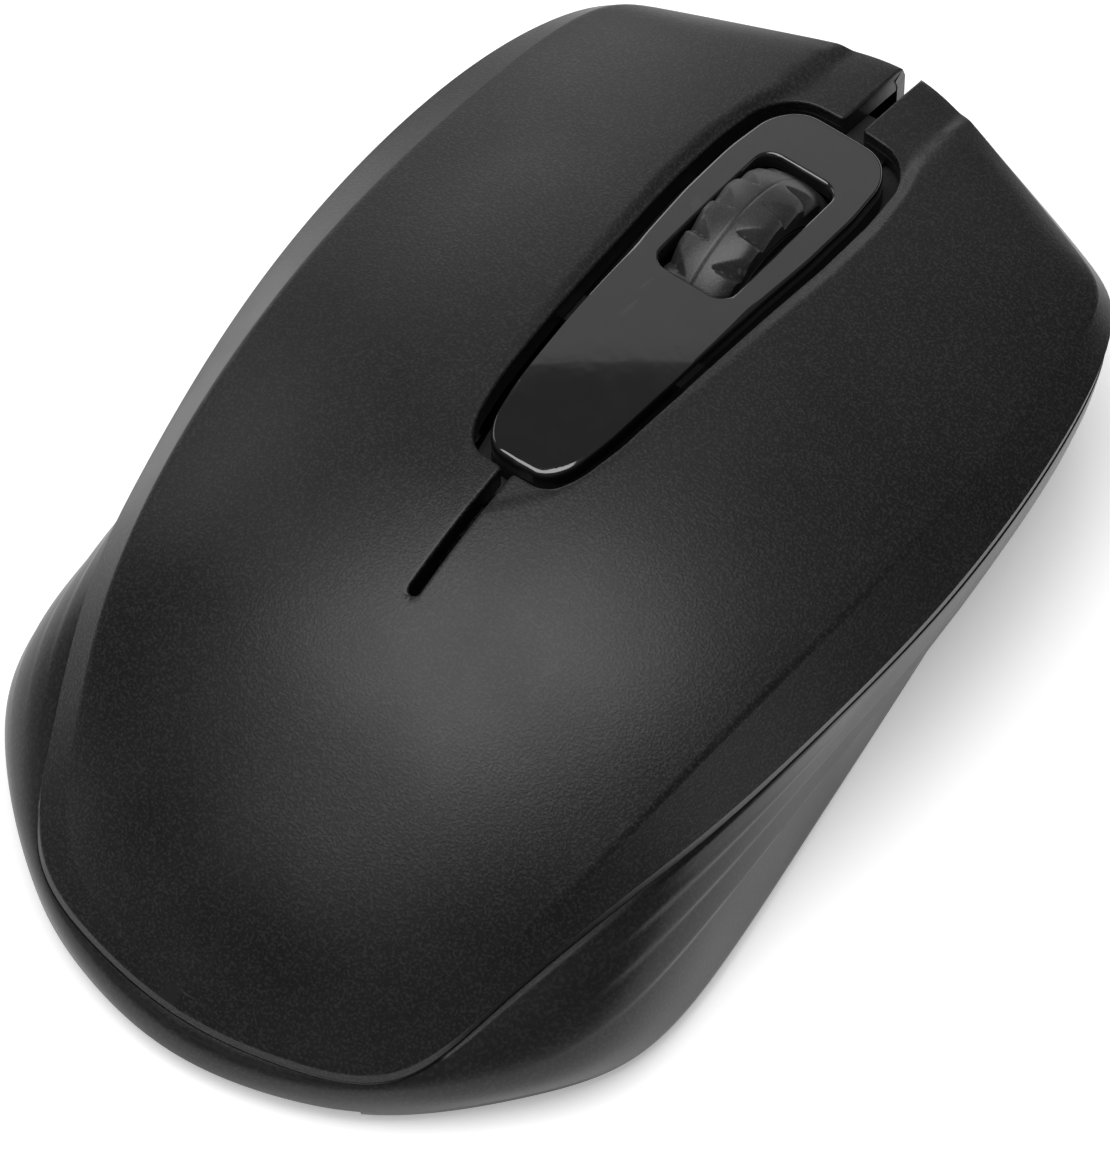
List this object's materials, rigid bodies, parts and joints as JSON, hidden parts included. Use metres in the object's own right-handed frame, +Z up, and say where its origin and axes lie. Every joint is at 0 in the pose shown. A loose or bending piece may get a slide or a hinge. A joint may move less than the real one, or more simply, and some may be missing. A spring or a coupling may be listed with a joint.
{
  "type": "computer mouse",
  "caption": "Compact wireless optical mouse: matte shell with two buttons split by a slit, glossy wheel trim, ribbed scroll wheel, swept lower casing.",
  "frame": {"origin": "on the desk, under the middle of the overall box", "axes": "+Z up, -Y towards the nose, +X towards the user's left"},
  "size_m": [0.0614, 0.0998, 0.028],
  "materials": {
    "shell": "fine grained charcoal black",
    "casing": "satin black",
    "gloss": "polished black",
    "frame": "plain moulded black",
    "tyre": "satin dark grey",
    "glide": "smooth low friction black",
    "board": "green solder mask",
    "chip": "moulded package",
    "lens": "clear moulded lens",
    "lamp": "clear red lamp",
    "plunger": "natural white",
    "metal": "nickel plated steel",
    "cell": "plain printed sleeve with no text"
  },
  "bodies": {
    "casing": {"lower_casing": "casing", "palm_cover": "shell", "wheel_trim": "gloss", "trim_bracket": "frame", "front_glide": "glide", "rear_glide_left": "glide", "rear_glide_right": "glide", "circuit_board": "board", "left_switch_body": "chip", "right_switch_body": "chip", "middle_switch_body": "chip", "encoder_body": "chip", "sensor_chip": "chip", "sensor_lens": "lens", "sensor_led": "lamp", "radio_chip": "chip", "crystal": "metal", "capacitor": "chip", "battery_cell": "cell", "battery_contact": "metal", "battery_spring": "metal", "receiver_plug": "metal", "receiver_cap": "frame", "power_switch_body": "chip", "casing_screw_left": "metal", "casing_screw_right": "metal", "casing_screw_front": "metal", "board_screw_left": "metal", "board_screw_right": "metal"},
    "battery_door": {"battery_door": "casing"},
    "left_button": {"left_button": "shell"},
    "right_button": {"right_button": "shell"},
    "left_plunger": {"left_switch_plunger": "plunger"},
    "right_plunger": {"right_switch_plunger": "plunger"},
    "middle_plunger": {"middle_switch_plunger": "plunger"},
    "saddle": {"axle_saddle": "frame"},
    "wheel": {"wheel_tyre": "tyre", "wheel_hub": "frame"},
    "encoder_rotor": {"encoder_rotor": "plunger"},
    "power_knob": {"power_switch_knob": "plunger"}
  },
  "joints": [
    {"name": "left_click", "type": "hinge", "parent": "casing", "child": "left_button", "pos_m": [0, 0.017, 0.021], "axis": [1, 0, 0], "range_deg": [0, 0.6], "stiffness_Nm_per_rad": 4, "springref_deg": -0.34},
    {"name": "right_click", "type": "hinge", "parent": "casing", "child": "right_button", "pos_m": [0, 0.017, 0.021], "axis": [1, 0, 0], "range_deg": [0, 0.6], "stiffness_Nm_per_rad": 4, "springref_deg": -0.34},
    {"name": "left_plunger_slide", "type": "slide", "parent": "casing", "child": "left_plunger", "axis": [0, 0, -1], "range_m": [0, 0.0006]},
    {"name": "right_plunger_slide", "type": "slide", "parent": "casing", "child": "right_plunger", "axis": [0, 0, -1], "range_m": [0, 0.0006]},
    {"name": "wheel_press", "type": "hinge", "parent": "casing", "child": "saddle", "pos_m": [0.009, -0.02519, 0.01584], "axis": [0, -1, 0], "range_deg": [0, 1.2], "stiffness_Nm_per_rad": 1.5, "springref_deg": -0.57},
    {"name": "middle_plunger_slide", "type": "slide", "parent": "casing", "child": "middle_plunger", "axis": [0, 0, -1], "range_m": [0, 0.00035]},
    {"name": "wheel_spin", "type": "hinge", "parent": "saddle", "child": "wheel", "pos_m": [0, -0.02519, 0.01584], "axis": [1, 0, 0], "continuous": true},
    {"name": "encoder_turn", "type": "hinge", "parent": "casing", "child": "encoder_rotor", "pos_m": [0, -0.02519, 0.01584], "axis": [1, 0, 0], "continuous": true},
    {"name": "power_slide", "type": "slide", "parent": "casing", "child": "power_knob", "axis": [0, 1, 0], "range_m": [0, 0.002]},
    {"name": "door_slide", "type": "slide", "parent": "casing", "child": "battery_door", "axis": [0, 1, 0], "range_m": [0, 0.006]}
  ],
  "couplings": [
    {"joint": "left_plunger_slide", "follows": "left_click", "m_per_rad": 0.054},
    {"joint": "right_plunger_slide", "follows": "right_click", "m_per_rad": 0.054},
    {"joint": "middle_plunger_slide", "follows": "wheel_press", "m_per_rad": 0.0163},
    {"joint": "encoder_turn", "follows": "wheel_spin", "ratio": 1}
  ]
}
